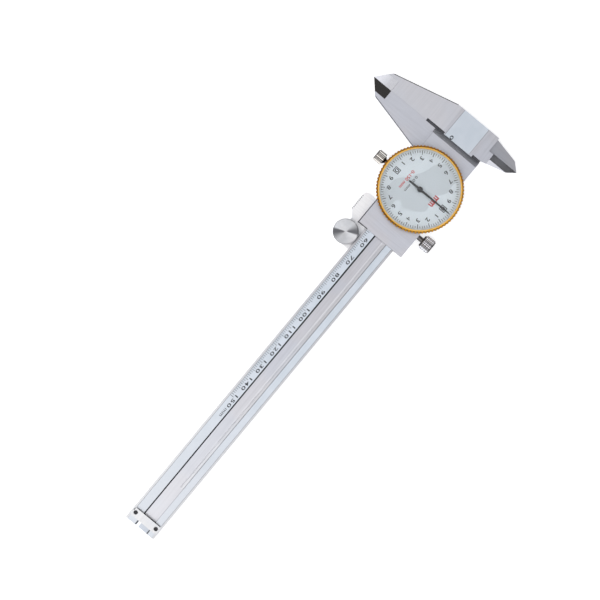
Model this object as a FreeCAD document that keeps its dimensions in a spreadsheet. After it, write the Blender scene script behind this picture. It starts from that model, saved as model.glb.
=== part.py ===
# Dial caliper, 150 mm range, one dial division 0.02 mm, drawn closed at zero.
#
# X runs along the beam, from the measuring plane of the outside jaws to the tip of the depth rod.
# Y runs across the beam, from its centreline towards the inside jaws.
# Z rises from the back of the slider's back cover to the dial.
# All lengths are in millimetres and all angles in degrees.

import FreeCAD, Part
import Sketcher
import math
import os
import re

doc = FreeCAD.newDocument("DialCaliper")
sheet = doc.addObject("Spreadsheet::Sheet", "Sizes")

# Driving dimensions: each is written once, here, and everything else follows the sheet.
SIZES = {
    # Running gaps and fits
    "back_gap": 0.1,
    "front_gap": 0.1,
    "slide_gap": 0.05,
    "jaw_gap": 0.02,
    "blade_gap": 0.05,
    "turn_gap": 0.1,
    "shaft_gap": 0.05,
    "seat_gap": 0.03,
    # Beam with the fixed jaws
    "beam_width": 16.0,
    "beam_thick": 3.8,
    "beam_end": 221.7,
    "edge_bevel_width": 1.1,
    "edge_bevel_depth": 0.6,
    "channel_start": 16.0,
    "channel_low": -2.85,
    "channel_high": 4.05,
    "channel_depth": 1.2,
    "runout_width": 0.42,
    "runout_depth": 0.5,
    "rod_groove_width": 3.2,
    "rod_groove_depth": 1.5,
    # Outside jaws
    "head_width": 14.4,
    "head_shoulder_y": -11.2,
    "jaw_heel_x": 6.6,
    "jaw_heel_y": -42.3,
    "jaw_tip_y": -48.2,
    "knife_width": 4.8,
    "knife_top_y": -38.15,
    "knife_edge": 0.5,
    "relief_left": 1.0,
    "relief_right": 0.4,
    "relief_end_y": -18.0,
    "relief_depth": 3.0,
    "moving_jaw_width": 13.6,
    "moving_jaw_y": -12.6,
    # Inside jaws
    "ear_y": 12.4,
    "ear_gap_x": 1.2,
    "blade_x": -7.5,
    "blade_tip_y": 28.1,
    "blade_shoulder_y": 24.3,
    "blade_shoulder_in": 3.1,
    "blade_shoulder_out": 3.6,
    "blade_notch_y": 14.95,
    "blade_notch_width": 0.4,
    "blade_bevel": 3.2,
    "blade_edge": 0.3,
    # Slider
    "slider_length": 54.5,
    "slider_half": 12.5,
    "plate_thick": 2.5,
    "plate_bevel": 2.6,
    "gib_thick": 1.0,
    "gib_gap": 0.05,
    "gib_inset": 2.0,
    "gib_screw_first_x": 12.0,
    "gib_screw_pitch": 20.0,
    "gib_screw_radius": 0.9,
    "gib_screw_depth": 0.2,
    # Back cover with thumb rest and roller arm
    "cover_thick": 1.2,
    "cover_inset": 0.2,
    "rest_left_in": 13.3,
    "rest_low_y": -18.65,
    "rest_right_in": 3.5,
    "rest_end_out": 0.2,
    "rest_end_y": -15.7,
    "rest_corner": 2.4,
    "serration_margin": 2.7,
    "serration_pitch": 0.9,
    "serration_depth": 0.35,
    "serration_count": 8,
    "arm_radius": 5.45,
    "arm_top_y": -3.0,
    "arm_slant_y": 6.0,
    "cover_screw_first_x": 6.0,
    "cover_screw_inset": 5.5,
    "cover_screw_radius": 0.8,
    "cover_screw_head": 1.5,
    "cover_screw_length": 3.6,
    # Depth rod
    "rod_held": 16.5,
    "rod_gap": 0.1,
    "rod_tip_step": 1.0,
    "rod_tip_length": 4.0,
    "rod_screw_inset": 3.5,
    "rod_screw_pitch": 7.0,
    "rod_screw_radius": 0.6,
    "rod_screw_head": 1.1,
    "rod_screw_length": 2.3,
    # End stop
    "stop_start_x": 215.2,
    "stop_width": 4.1,
    "stop_half": 7.35,
    "stop_thick": 1.2,
    "stop_corner": 1.2,
    "stop_screw_y": 5.8,
    "stop_screw_radius": 0.65,
    "stop_screw_head": 0.95,
    "stop_screw_head_height": 0.35,
    "stop_screw_length": 3.2,
    # Dial case
    "dial_x": 26.2,
    "dial_y": -0.35,
    "case_inset": 1.0,
    "case_flange": 2.2,
    "case_base": 0.7,
    "case_wall": 1.0,
    "case_wall_top": 3.6,
    "case_screw_in": 1.975,
    "case_screw_radius": 0.7,
    "case_screw_head": 1.25,
    "case_screw_head_height": 0.8,
    "case_screw_length": 2.4,
    "clamp_boss_half": 2.4,
    "clamp_boss_inset": 0.15,
    # Bezel stack
    "bezel_radius": 19.6,
    "bezel_height": 4.5,
    "bezel_wall": 1.15,
    "crystal_ledge": 0.4,
    "bezel_lip": 0.5,
    "bezel_slope_width": 1.1,
    "bezel_slope_height": 0.6,
    "bezel_notches": 80,
    "notch_half": 0.6,
    "notch_depth": 0.5,
    "notch_ledge": 0.07,
    "bush_height": 1.4,
    "bush_ring_wall": 0.9,
    "dial_thick": 0.4,
    "dial_hole": 1.1,
    "spacer_wall": 0.3,
    "crystal_thick": 1.1,
    "snap_wire": 0.3,
    "snap_opening": 10.0,
    # Rack and gear train
    "rack_pitch": 0.625,
    "rack_line_y": 2.5,
    "rack_back_y": 3.85,
    "rack_height": 1.0,
    "travel": 160.0,
    "rack_spare_teeth": 5,
    "pinion_teeth": 16,
    "wheel_module": 0.2,
    "wheel_teeth": 60,
    "centre_teeth": 12,
    "addendum": 0.9,
    "dedendum": 1.25,
    "pressure_angle": 20.0,
    "backlash": 0.06,
    "wheel_thick": 0.5,
    "wheel_lift": 0.25,
    "arbor_radius": 0.6,
    "pivot_radius": 0.3,
    "spindle_radius": 0.5,
    "pinion_boss_radius": 2.5,
    "pinion_boss_length": 2.3,
    "bush_wall": 0.7,
    "bridge_lift": 1.1,
    "bridge_thick": 0.6,
    "bridge_half": 2.1,
    "bridge_end": 2.1,
    "bridge_corner": 1.5,
    "pillar_offset": 9.5,
    "pillar_radius": 1.6,
    "bridge_screw_radius": 0.6,
    "bridge_screw_head": 1.25,
    "bridge_screw_head_height": 0.6,
    "bridge_screw_length": 1.5,
    "collet_radius": 0.8,
    "spring_turns": 3,
    "spring_pitch": 1.0,
    "spring_strip": 0.12,
    "spring_height": 0.2,
    "stud_radius": 0.3,
    # Pointer
    "pointer_lift": 0.5,
    "pointer_thick": 0.2,
    "pointer_margin": 1.65,
    "pointer_tail": 6.3,
    "pointer_root_half": 0.56,
    "pointer_tip_half": 0.24,
    "pointer_tail_half": 0.36,
    "pointer_hub": 1.25,
    "pointer_hub_height": 0.4,
    # Thumb roller
    "roller_out": 6.75,
    "roller_radius": 5.8,
    "roller_height": 4.2,
    "roller_dish": 0.25,
    "roller_notches": 60,
    "roller_notch_depth": 0.16,
    "roller_notch_half": 0.24,
    "roller_spindle": 1.6,
    "washer_thick": 0.2,
    "washer_radius": 3.0,
    "roller_screw_head": 2.4,
    "roller_screw_head_height": 0.5,
    "roller_screw_radius": 0.7,
    "roller_screw_length": 2.4,
    # Lock screw and bezel clamp screw
    "lock_in": 11.95,
    "lock_z": 3.6,
    "lock_neck_radius": 1.2,
    "lock_head_low_y": 14.95,
    "lock_head_length": 5.5,
    "lock_head_radius": 3.4,
    "lock_flutes": 26,
    "clamp_thread_radius": 1.0,
    "clamp_thread_depth": 3.1,
    "clamp_cone_length": 1.1,
    "clamp_cone_radius": 2.2,
    "clamp_head_length": 4.1,
    "clamp_head_radius": 2.8,
    "clamp_flutes": 20,
    "clamp_drop": 1.0,
    "head_chamfer": 0.4,
    "flute_depth": 0.3,
    "flute_half": 0.36,
    # Screw slots
    "slot_width": 0.35,
    "slot_depth": 0.3,
}

# Heights, edges and centres that follow from the sizes above.
DERIVED = {
    "beam_back": "cover_thick + back_gap",
    "beam_front": "beam_back + beam_thick",
    "beam_mid": "beam_back + beam_thick / 2",
    "beam_half": "beam_width / 2",
    "channel_floor": "beam_front - channel_depth",
    "plate_back": "beam_front + front_gap",
    "plate_front": "plate_back + plate_thick",
    "rail_edge": "beam_half + slide_gap",
    "gib_high": "rail_edge + gib_thick",
    "rail_high": "gib_high + gib_gap",
    "low_rail_mid": "(rail_edge + slider_half) / 2",
    "high_rail_mid": "(rail_high + slider_half) / 2",
    "cover_half": "slider_half - cover_inset",
    "rest_left_x": "slider_length - rest_left_in",
    "rest_right_x": "slider_length - rest_right_in",
    "rest_end_x": "slider_length + rest_end_out",
    "serration_first_x": "rest_left_x + serration_margin",
    "cover_screw_last_x": "slider_length - cover_screw_inset",
    "lock_x": "slider_length - lock_in",
    "roller_x": "slider_length + roller_out",
    "rod_start_x": "slider_length - rod_held",
    "rod_screw_first_x": "rod_start_x + rod_screw_inset",
    "rod_half": "rod_groove_width / 2 - rod_gap",
    "rod_thick": "back_gap + rod_groove_depth - rod_gap",
    "stop_mid_x": "stop_start_x + stop_width / 2",
    "stop_top": "beam_front + stop_thick",
    "base_top": "plate_front + case_base",
    "flange_top": "plate_front + case_flange",
    "wall_top": "plate_front + case_wall_top",
    "bezel_low": "flange_top + turn_gap",
    "bezel_top": "bezel_low + bezel_height",
    "notch_top": "bezel_top - bezel_slope_height",
    "dial_low": "bezel_low + bush_height",
    "dial_top": "dial_low + dial_thick",
    "crystal_top": "bezel_top - bezel_lip",
    "crystal_low": "crystal_top - crystal_thick",
    "bezel_bore": "bezel_radius - bezel_wall",
    "bezel_opening": "bezel_bore - crystal_ledge",
    "stack_radius": "bezel_bore - shaft_gap",
    "bush_bore": "stack_radius - bush_ring_wall",
    "case_wall_radius": "bush_bore - turn_gap",
    "case_radius": "bezel_radius - case_inset",
    "case_screw_offset": "(case_wall_radius - case_wall - case_screw_in) / sqrt(2)",
    "clamp_boss_reach": "bezel_radius - clamp_boss_inset",
    "snap_mid": "bezel_low + bush_height / 2",
    "snap_groove": "snap_wire + turn_gap",
    "pinion_radius": "pinion_teeth * rack_pitch / (2 * pi)",
    "pinion_dy": "rack_line_y - pinion_radius - dial_y",
    "gear_distance": "wheel_module * (wheel_teeth + centre_teeth) / 2",
    "pinion_dx": "sqrt(gear_distance ^ 2 - pinion_dy ^ 2)",
    "pinion_x": "dial_x + pinion_dx",
    "pinion_y": "dial_y + pinion_dy",
    "pinion_low": "channel_floor + turn_gap",
    "boss_low": "plate_front - pinion_boss_length",
    "bush_radius": "arbor_radius + shaft_gap + bush_wall",
    "wheel_low": "base_top + wheel_lift",
    "wheel_high": "wheel_low + wheel_thick",
    "bridge_low": "base_top + bridge_lift",
    "bridge_high": "bridge_low + bridge_thick",
    "spring_low": "wheel_high + shaft_gap",
    "spring_inner": "collet_radius + shaft_gap",
    "spring_outer": "spring_inner + spring_turns * spring_pitch",
    "pointer_low": "dial_top + pointer_lift",
    "pointer_reach": "bezel_opening - pointer_margin",
    "roller_y": "-(beam_half + slide_gap + roller_radius)",
    "roller_low": "cover_thick + washer_thick + shaft_gap",
    "roller_high": "roller_low + roller_height",
    "roller_recess": "roller_screw_head_height + 2 * shaft_gap",
    "clamp_z": "bezel_low - clamp_drop - turn_gap",
    "clamp_seat_y": "dial_y - bezel_radius - turn_gap - shaft_gap",
    "blade_front_back": "beam_mid + blade_gap / 2",
    "blade_back_front": "beam_mid - blade_gap / 2",
}


def fill_sheet():
    for row, (name, value) in enumerate(SIZES.items(), start=1):
        sheet.set("A%d" % row, name)
        sheet.set("B%d" % row, str(value))
        sheet.setAlias("B%d" % row, name)
    doc.recompute()


def full(expression):
    """The expression with every named size written out as its cell of the sheet."""

    def write_out(match):
        word = match.group(0)
        if word in DERIVED:
            return "(" + full(DERIVED[word]) + ")"
        if word in SIZES:
            return "Sizes." + word
        return word

    return re.sub(r"[a-z][a-z0-9_]*", write_out, str(expression))


def size(expression):
    """The value of an expression in millimetres, or as a plain number."""
    value = sheet.evalExpression(full(expression))
    return float(getattr(value, "Value", value))


def bind(item, target, expression):
    item.setExpression(target, full(expression))


def new_body(label, x="0", y="0", z="0", points_to=(0, 0, 1)):
    """An empty body at x, y, z, whose own Z axis points along points_to."""
    body = doc.addObject("PartDesign::Body", label)
    body.Label = label
    turn = FreeCAD.Rotation(FreeCAD.Vector(0, 0, 1), FreeCAD.Vector(*points_to))
    body.Placement = FreeCAD.Placement(FreeCAD.Vector(), turn)
    for axis, expression in zip("xyz", (x, y, z)):
        bind(body, "Placement.Base." + axis, expression)
    return body


def sketch_on(body, plane="XY_Plane", offset="0"):
    """A sketch on one of the body's own origin planes, moved along that plane's normal."""
    sketch = body.newObject("Sketcher::SketchObject", body.Label + "_sketch")
    support = next(item for item in body.Origin.OriginFeatures if item.Role == plane)
    sketch.AttachmentSupport = [(support, "")]
    sketch.MapMode = "FlatFace"
    bind(sketch, "AttachmentOffset.Base.z", offset)
    return sketch


def pin_down(sketch, geometry, vertex, x, y):
    """Hold one vertex at the expressions x and y."""
    for kind, expression in (("DistanceX", x), ("DistanceY", y)):
        limit = Sketcher.Constraint(kind, -1, 1, geometry, vertex, size(expression))
        bind(sketch, "Constraints[%d]" % sketch.addConstraint(limit), expression)


def outline(sketch, corners):
    """A closed outline of straight lines through corners given as expressions."""
    points = [FreeCAD.Vector(size(x), size(y), 0) for x, y in corners]
    count = len(points)
    first = sketch.GeometryCount
    for index, point in enumerate(points):
        sketch.addGeometry(Part.LineSegment(point, points[(index + 1) % count]), False)
    for index in range(count):
        ends = (first + index, 2, first + (index + 1) % count, 1)
        sketch.addConstraint(Sketcher.Constraint("Coincident", *ends))
    for index, (x, y) in enumerate(corners):
        pin_down(sketch, first + index, 1, x, y)


def rectangle(sketch, left, right, low, high):
    outline(sketch, [(left, low), (right, low), (right, high), (left, high)])


def circle(sketch, x, y, radius):
    centre = FreeCAD.Vector(size(x), size(y), 0)
    drawn = Part.Circle(centre, FreeCAD.Vector(0, 0, 1), size(radius))
    index = sketch.addGeometry(drawn, False)
    pin_down(sketch, index, 3, x, y)
    limit = Sketcher.Constraint("Radius", index, size(radius))
    bind(sketch, "Constraints[%d]" % sketch.addConstraint(limit), radius)


def extrude(body, sketch, length, kind="Pad", reverse=False):
    """A pad or pocket. A pocket cuts against the sketch's normal unless it is reversed."""
    doc.recompute()
    before = body.Shape.Volume if kind == "Pocket" else None
    feature = body.newObject("PartDesign::" + kind, body.Label + "_" + kind.lower())
    feature.Profile = sketch
    bind(feature, "Length", length)
    feature.Reversed = reverse
    body.Tip = feature
    doc.recompute()
    if before is not None and not body.Shape.Volume < before - 1e-6:
        raise RuntimeError("a pocket in %s removes nothing" % body.Label)
    return feature


def pocket(body, sketch, length, reverse=False):
    return extrude(body, sketch, length, "Pocket", reverse)


def revolve(body, profile, angle="360"):
    """A turned solid about the body's own Z axis, from (radius, height) corners."""
    sketch = sketch_on(body, "XZ_Plane")
    outline(sketch, profile)
    feature = body.newObject("PartDesign::Revolution", body.Label + "_turning")
    feature.Profile = sketch
    feature.ReferenceAxis = (sketch, ["V_Axis"])
    bind(feature, "Angle", angle)
    body.Tip = feature
    doc.recompute()
    return feature


def around(body, feature, count):
    """Repeat a feature all round the body's own Z axis."""
    pattern = body.newObject("PartDesign::PolarPattern", body.Label + "_round")
    pattern.Originals = [feature]
    pattern.Axis = (feature.Profile[0], ["N_Axis"])
    pattern.Angle = 360
    bind(pattern, "Occurrences", count)
    body.Tip = pattern
    doc.recompute()


def round_corners(body, corners, radius):
    """Fillet the edges that run along Z through the given corners."""
    doc.recompute()
    wanted = [(size(x), size(y)) for x, y in corners]
    names = []
    base = body.Tip
    for number, edge in enumerate(base.Shape.Edges, start=1):
        first, last = edge.Vertexes[0].Point, edge.Vertexes[-1].Point
        if abs(first.x - last.x) > 1e-4 or abs(first.y - last.y) > 1e-4:
            continue
        if any(math.hypot(first.x - x, first.y - y) < 1e-3 for x, y in wanted):
            names.append("Edge%d" % number)
    fillet = body.newObject("PartDesign::Fillet", body.Label + "_fillet")
    fillet.Base = (base, names)
    bind(fillet, "Radius", radius)
    body.Tip = fillet
    doc.recompute()


def turned(label, profile, x="0", y="0", z="0", points_to=(0, 0, 1)):
    body = new_body(label, x, y, z, points_to)
    revolve(body, profile)
    return body


def screw(label, head, head_height, radius, length, x, y, z, points_to=(0, 0, 1), sunk=False):
    """A slotted screw. Its origin is under the head, or on a sunk head's flat top."""
    if sunk:
        top = "0"
        profile = [("0", "0"), (head, "0"), (radius, "%s - %s" % (radius, head))]
    else:
        top = head_height
        profile = [("0", top), (head, top), (head, "0"), (radius, "0")]
    profile += [(radius, "-(%s)" % length), ("0", "-(%s)" % length)]
    body = turned(label, profile, x, y, z, points_to)
    slot = sketch_on(body, offset=top)
    rectangle(slot, "-2 * %s" % head, "2 * %s" % head, "-slot_width / 2", "slot_width / 2")
    pocket(body, slot, "slot_depth")
    return body


def solid_from(label, points, low, height, x="0", y="0"):
    """A Part::Feature raised from a computed outline, for toothed and coiled pieces."""
    wire = Part.makePolygon(points + points[:1])
    shape = Part.Face(wire).extrude(FreeCAD.Vector(0, 0, size(height)))
    return feature_of(label, shape, low, x, y)


def feature_of(label, shape, low, x="0", y="0"):
    piece = doc.addObject("Part::Feature", label)
    piece.Label = label
    piece.Shape = shape
    piece.Placement = FreeCAD.Placement(
        FreeCAD.Vector(size(x), size(y), size(low)), FreeCAD.Rotation()
    )
    return piece


def polar(radius, angle):
    return FreeCAD.Vector(radius * math.cos(angle), radius * math.sin(angle), 0)


def gear_outline(teeth, module, first_tooth, steps):
    """Corners of an involute spur gear with one tooth centred on the angle first_tooth."""
    pitch_radius = module * teeth / 2
    tip = pitch_radius + size("addendum") * module
    root = pitch_radius - size("dedendum") * module
    pressure = math.radians(size("pressure_angle"))
    base = pitch_radius * math.cos(pressure)
    half_at_pitch = math.pi / (2 * teeth) - size("backlash") / (4 * pitch_radius)
    flank = []
    for step in range(steps + 1):
        radius = root + (tip - root) * step / steps
        rolled = math.acos(min(1.0, base / max(radius, base)))
        gained = math.tan(pressure) - pressure - math.tan(rolled) + rolled
        flank.append((radius, half_at_pitch + gained))
    points = []
    for tooth in range(teeth):
        middle = first_tooth + 2 * math.pi * tooth / teeth
        points += [polar(radius, middle - half) for radius, half in flank]
        points += [polar(radius, middle + half) for radius, half in reversed(flank)]
    return points


def wedge(sketch, edge_x, inner_x, face, edge_z):
    """A triangle in XZ that bevels a face from inner_x down to edge_z at edge_x."""
    outline(sketch, [(inner_x, face), (edge_x, face), (edge_x, edge_z)])


def main_beam():
    """Beam with the fixed outside jaw at full thickness and the fixed inside blade in front."""
    body = new_body("main_beam")
    plan = sketch_on(body, offset="beam_back")
    outline(plan, [
        ("beam_end", "-beam_half"), ("beam_end", "beam_half"), ("-head_width", "beam_half"),
        ("-head_width", "head_shoulder_y"), ("-jaw_heel_x", "jaw_heel_y"), ("0", "jaw_tip_y"),
        ("0", "-beam_half"),
    ])
    extrude(body, plan, "beam_thick")
    ear = sketch_on(body, offset="blade_front_back")
    outline(ear, [
        ("-head_width", "beam_half / 2"), ("-ear_gap_x", "beam_half / 2"), ("-ear_gap_x", "ear_y"),
        ("blade_x + blade_shoulder_in", "blade_shoulder_y"), ("blade_x", "blade_tip_y"),
        ("blade_x", "blade_notch_y"), ("blade_x + blade_notch_width", "blade_notch_y"),
        ("blade_x + blade_notch_width", "ear_y"), ("-head_width", "ear_y"),
    ])
    extrude(body, ear, "beam_front - blade_front_back")
    channel = sketch_on(body, offset="beam_front")
    rectangle(channel, "channel_start", "beam_end", "channel_low", "channel_high")
    pocket(body, channel, "channel_depth")
    runout = sketch_on(body, offset="channel_floor")
    rectangle(runout, "channel_start", "beam_end", "channel_low", "channel_low + runout_width")
    pocket(body, runout, "runout_depth")
    groove = sketch_on(body, offset="beam_back")
    rectangle(groove, "rod_start_x - rod_gap", "beam_end",
              "-rod_groove_width / 2", "rod_groove_width / 2")
    pocket(body, groove, "rod_groove_depth", reverse=True)
    for side in ("", "-"):
        bevel = sketch_on(body, "YZ_Plane")
        outline(bevel, [
            (side + "beam_half", "beam_front"),
            ("%s(beam_half - edge_bevel_width)" % side, "beam_front"),
            (side + "beam_half", "beam_front - edge_bevel_depth"),
        ])
        pocket(body, bevel, "beam_end", reverse=True)
    knife(body, "0", "-knife_width")
    relief(body)
    blade = sketch_on(body, "XZ_Plane", "-blade_notch_y")
    wedge(blade, "blade_x", "blade_x + blade_bevel", "beam_front", "blade_front_back + blade_edge")
    pocket(body, blade, "blade_tip_y - blade_notch_y")
    holes = sketch_on(body, offset="beam_front")
    for side in ("", "-"):
        circle(holes, "stop_mid_x", side + "stop_screw_y", "stop_screw_radius + seat_gap")
    pocket(body, holes, "stop_screw_length - stop_thick + seat_gap")


def knife(body, edge_x, inner_x):
    """Thin one outside jaw tip from both faces towards its measuring edge."""
    for face, side in (("beam_front", "+"), ("beam_back", "-")):
        sketch = sketch_on(body, "XZ_Plane", "-knife_top_y")
        wedge(sketch, edge_x, inner_x, face, "beam_mid %s knife_edge / 2" % side)
        pocket(body, sketch, "knife_top_y - jaw_tip_y", reverse=True)


def relief(body):
    """The rounded relief at the root of the outside measuring faces, cut from the front."""
    sketch = sketch_on(body, offset="beam_front")
    rectangle(sketch, "-relief_left", "relief_right", "relief_end_y", "-beam_half")
    pocket(body, sketch, "relief_depth")


def rack():
    """Straight rack in the channel, its teeth towards the pinion, with a root under the pinion."""
    pitch = size("rack_pitch")
    above = size("addendum") * pitch / math.pi
    lean = math.tan(math.radians(size("pressure_angle")))
    half = pitch / 4 - size("backlash") / 4
    tip, half_tip = size("rack_line_y") - above, half - above * lean
    root = size("rack_line_y") + (pitch / 2 - half) / lean
    spare = round(size("rack_spare_teeth"))
    teeth = round(size("travel") / pitch) + 2 * spare
    start, back = size("pinion_x") - spare * pitch, size("rack_back_y")
    points = [FreeCAD.Vector(start, back, 0), FreeCAD.Vector(start, root, 0)]
    for tooth in range(teeth):
        middle = start + (tooth + 0.5) * pitch
        points.append(FreeCAD.Vector(middle - half_tip, tip, 0))
        points.append(FreeCAD.Vector(middle + half_tip, tip, 0))
        points.append(FreeCAD.Vector(middle + pitch / 2, root, 0))
    points.append(FreeCAD.Vector(start + teeth * pitch, back, 0))
    solid_from("rack", points, "channel_floor", "rack_height")


def end_stop():
    plate = new_body("end_stop_plate")
    plan = sketch_on(plate, offset="beam_front")
    left, right = "stop_start_x", "stop_start_x + stop_width"
    rectangle(plan, left, right, "-stop_half", "stop_half")
    extrude(plate, plan, "stop_thick")
    round_corners(plate, [(x, y) for x in (left, right) for y in ("-stop_half", "stop_half")],
                  "stop_corner")
    holes = sketch_on(plate, offset="stop_top")
    for side in ("", "-"):
        circle(holes, "stop_mid_x", side + "stop_screw_y", "stop_screw_radius + seat_gap")
    pocket(plate, holes, "stop_thick")
    for number, side in ((1, ""), (2, "-")):
        screw("end_stop_screw_%d" % number, "stop_screw_head", "stop_screw_head_height",
              "stop_screw_radius", "stop_screw_length",
              "stop_mid_x", side + "stop_screw_y", "stop_top")


def slider_frame():
    """Front plate, two rails and both moving jaws in one piece."""
    body = new_body("slider_frame")
    plate = sketch_on(body, offset="plate_back")
    rectangle(plate, "jaw_gap", "slider_length", "-slider_half", "slider_half")
    extrude(body, plate, "plate_thick")
    rails = sketch_on(body, offset="cover_thick")
    rectangle(rails, "jaw_gap", "slider_length", "-slider_half", "-rail_edge")
    rectangle(rails, "jaw_gap", "slider_length", "rail_high", "slider_half")
    extrude(body, rails, "plate_back - cover_thick")
    jaw = sketch_on(body, offset="beam_back")
    outline(jaw, [
        ("jaw_gap", "-low_rail_mid"), ("jaw_gap", "jaw_tip_y"), ("jaw_heel_x", "jaw_heel_y"),
        ("moving_jaw_width", "moving_jaw_y"), ("moving_jaw_width", "-low_rail_mid"),
    ])
    extrude(body, jaw, "beam_thick")
    blade = sketch_on(body, offset="beam_back")
    outline(blade, [
        ("gib_inset - gib_gap", "rail_edge"), ("gib_inset - gib_gap", "ear_y"),
        ("blade_x + blade_notch_width", "ear_y"),
        ("blade_x + blade_notch_width", "blade_notch_y"), ("blade_x", "blade_notch_y"),
        ("blade_x", "blade_tip_y"), ("blade_x - blade_shoulder_out", "blade_shoulder_y"),
        ("-moving_jaw_width", "ear_y"), ("-moving_jaw_width", "rail_edge"),
    ])
    extrude(body, blade, "blade_back_front - beam_back")
    slope = sketch_on(body, "XZ_Plane", "-slider_half")
    outline(slope, [
        ("jaw_gap", "plate_back"), ("jaw_gap", "plate_front"), ("plate_bevel", "plate_front"),
    ])
    pocket(body, slope, "2 * slider_half", reverse=True)
    knife(body, "jaw_gap", "knife_width")
    relief(body)
    bevel = sketch_on(body, "XZ_Plane", "-blade_notch_y")
    wedge(bevel, "blade_x", "blade_x - blade_bevel", "beam_back", "blade_back_front - blade_edge")
    pocket(body, bevel, "blade_tip_y - blade_notch_y")
    opening = sketch_on(body, offset="plate_front")
    circle(opening, "pinion_x", "pinion_y", "pinion_boss_radius + seat_gap")
    pocket(body, opening, "plate_thick")
    threads = sketch_on(body, offset="plate_front")
    for x, y in square_of("case_screw_offset"):
        circle(threads, "dial_x + " + x, "dial_y + " + y, "case_screw_radius + seat_gap")
    pocket(body, threads, "case_screw_length - case_base + seat_gap")
    threads = sketch_on(body, offset="cover_thick")
    for x, y in cover_screw_places():
        circle(threads, x, y, "cover_screw_radius + seat_gap")
    pocket(body, threads, "cover_screw_length - cover_thick + 2 * shaft_gap", reverse=True)
    cross = sketch_on(body, "XZ_Plane", "-slider_half")
    circle(cross, "lock_x", "lock_z", "lock_neck_radius + shaft_gap")
    for x in gib_screw_places():
        circle(cross, x, "beam_mid", "gib_screw_radius + seat_gap")
    pocket(body, cross, "slider_half - rail_high", reverse=True)


def square_of(offset):
    """The four corners of a square about the origin, as signed expressions."""
    return [(a + offset, b + offset) for a in ("1 * ", "-1 * ") for b in ("1 * ", "-1 * ")]


def cover_screw_places():
    return [(x, y) for x in ("cover_screw_first_x", "cover_screw_last_x")
            for y in ("high_rail_mid", "-low_rail_mid")]


def gib_screw_places():
    return ["gib_screw_first_x", "gib_screw_first_x + gib_screw_pitch"]


def rod_screw_places():
    return ["rod_screw_first_x", "rod_screw_first_x + rod_screw_pitch"]


def gib():
    """Gib strip between the beam's top edge and the upper rail, pressed by two set screws."""
    strip = doc.addObject("Part::Box", "gib_strip")
    strip.Label = "gib_strip"
    bind(strip, "Length", "slider_length - 2 * gib_inset")
    bind(strip, "Width", "gib_thick")
    bind(strip, "Height", "beam_thick - back_gap")
    bind(strip, "Placement.Base.x", "gib_inset")
    bind(strip, "Placement.Base.y", "rail_edge")
    bind(strip, "Placement.Base.z", "beam_back")
    for number, x in enumerate(gib_screw_places(), start=1):
        length = "slider_half - gib_screw_depth - gib_high"
        body = turned("gib_screw_%d" % number,
                      [("0", "0"), ("gib_screw_radius", "0"), ("gib_screw_radius", length),
                       ("0", length)], x, "gib_high", "beam_mid", (0, 1, 0))
        slot = sketch_on(body, offset=length)
        rectangle(slot, "-slot_width / 2", "slot_width / 2",
                  "-2 * gib_screw_radius", "2 * gib_screw_radius")
        pocket(body, slot, "slot_depth")


def back_cover():
    """Cover plate behind the beam, with the serrated thumb rest and the arm of the roller."""
    body = new_body("back_cover")
    rest_corners = [("rest_left_x", "rest_low_y"), ("rest_right_x", "rest_low_y")]
    plan = sketch_on(body)
    outline(plan, [
        ("cover_inset", "cover_half"), ("cover_inset", "-cover_half"),
        ("rest_left_x", "-cover_half"), *rest_corners, ("rest_end_x", "rest_end_y"),
        ("roller_x", "rest_end_y"), ("roller_x + arm_radius", "roller_y"),
        ("roller_x + arm_radius", "arm_top_y"), ("slider_length", "arm_slant_y"),
        ("slider_length", "cover_half"),
    ])
    extrude(body, plan, "cover_thick")
    round_corners(body, rest_corners, "rest_corner")
    arm_end = sketch_on(body)
    circle(arm_end, "roller_x", "roller_y", "arm_radius")
    extrude(body, arm_end, "cover_thick")
    tooth = sketch_on(body)
    outline(tooth, [
        ("serration_first_x - serration_depth", "rest_low_y"),
        ("serration_first_x", "rest_low_y + serration_depth"),
        ("serration_first_x + serration_depth", "rest_low_y"),
    ])
    notch = pocket(body, tooth, "cover_thick", reverse=True)
    row = body.newObject("PartDesign::LinearPattern", "serration")
    row.Originals = [notch]
    row.Direction = (tooth, ["H_Axis"])
    bind(row, "Length", "serration_pitch * (serration_count - 1)")
    bind(row, "Occurrences", "serration_count")
    body.Tip = row
    doc.recompute()
    sunk_holes(body, cover_screw_places(), "cover_screw_radius", "cover_screw_head")
    sunk_holes(body, [(x, "0") for x in rod_screw_places()], "rod_screw_radius", "rod_screw_head")
    recess = sketch_on(body)
    circle(recess, "roller_x", "roller_y", "roller_screw_head + turn_gap")
    pocket(body, recess, "roller_recess", reverse=True)
    bore = sketch_on(body)
    circle(bore, "roller_x", "roller_y", "roller_spindle + shaft_gap")
    pocket(body, bore, "cover_thick", reverse=True)
    for number, (x, y) in enumerate(cover_screw_places(), start=1):
        screw("cover_screw_%d" % number, "cover_screw_head", None, "cover_screw_radius",
              "cover_screw_length", x, y, "shaft_gap", (0, 0, -1), sunk=True)


def sunk_holes(body, places, radius, head):
    """Countersunk clearance holes from the cover's back face, each a turned cut."""
    for x, y in places:
        plane = sketch_on(body, "XZ_Plane", "-(%s)" % y)
        outline(plane, [
            (x, "0"), ("%s + %s + seat_gap + shaft_gap" % (x, head), "0"),
            ("%s + %s + seat_gap" % (x, radius), "shaft_gap + %s - %s" % (head, radius)),
            ("%s + %s + seat_gap" % (x, radius), "cover_thick"), (x, "cover_thick"),
        ])
        cut = body.newObject("PartDesign::Groove", "sunk_hole")
        cut.Profile = plane
        cut.ReferenceAxis = (plane, ["Edge5"])
        cut.Angle = 360
        body.Tip = cut
        before = body.Shape.Volume
        doc.recompute()
        if not body.Shape.Volume < before:
            raise RuntimeError("a sunk hole removes nothing")


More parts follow.
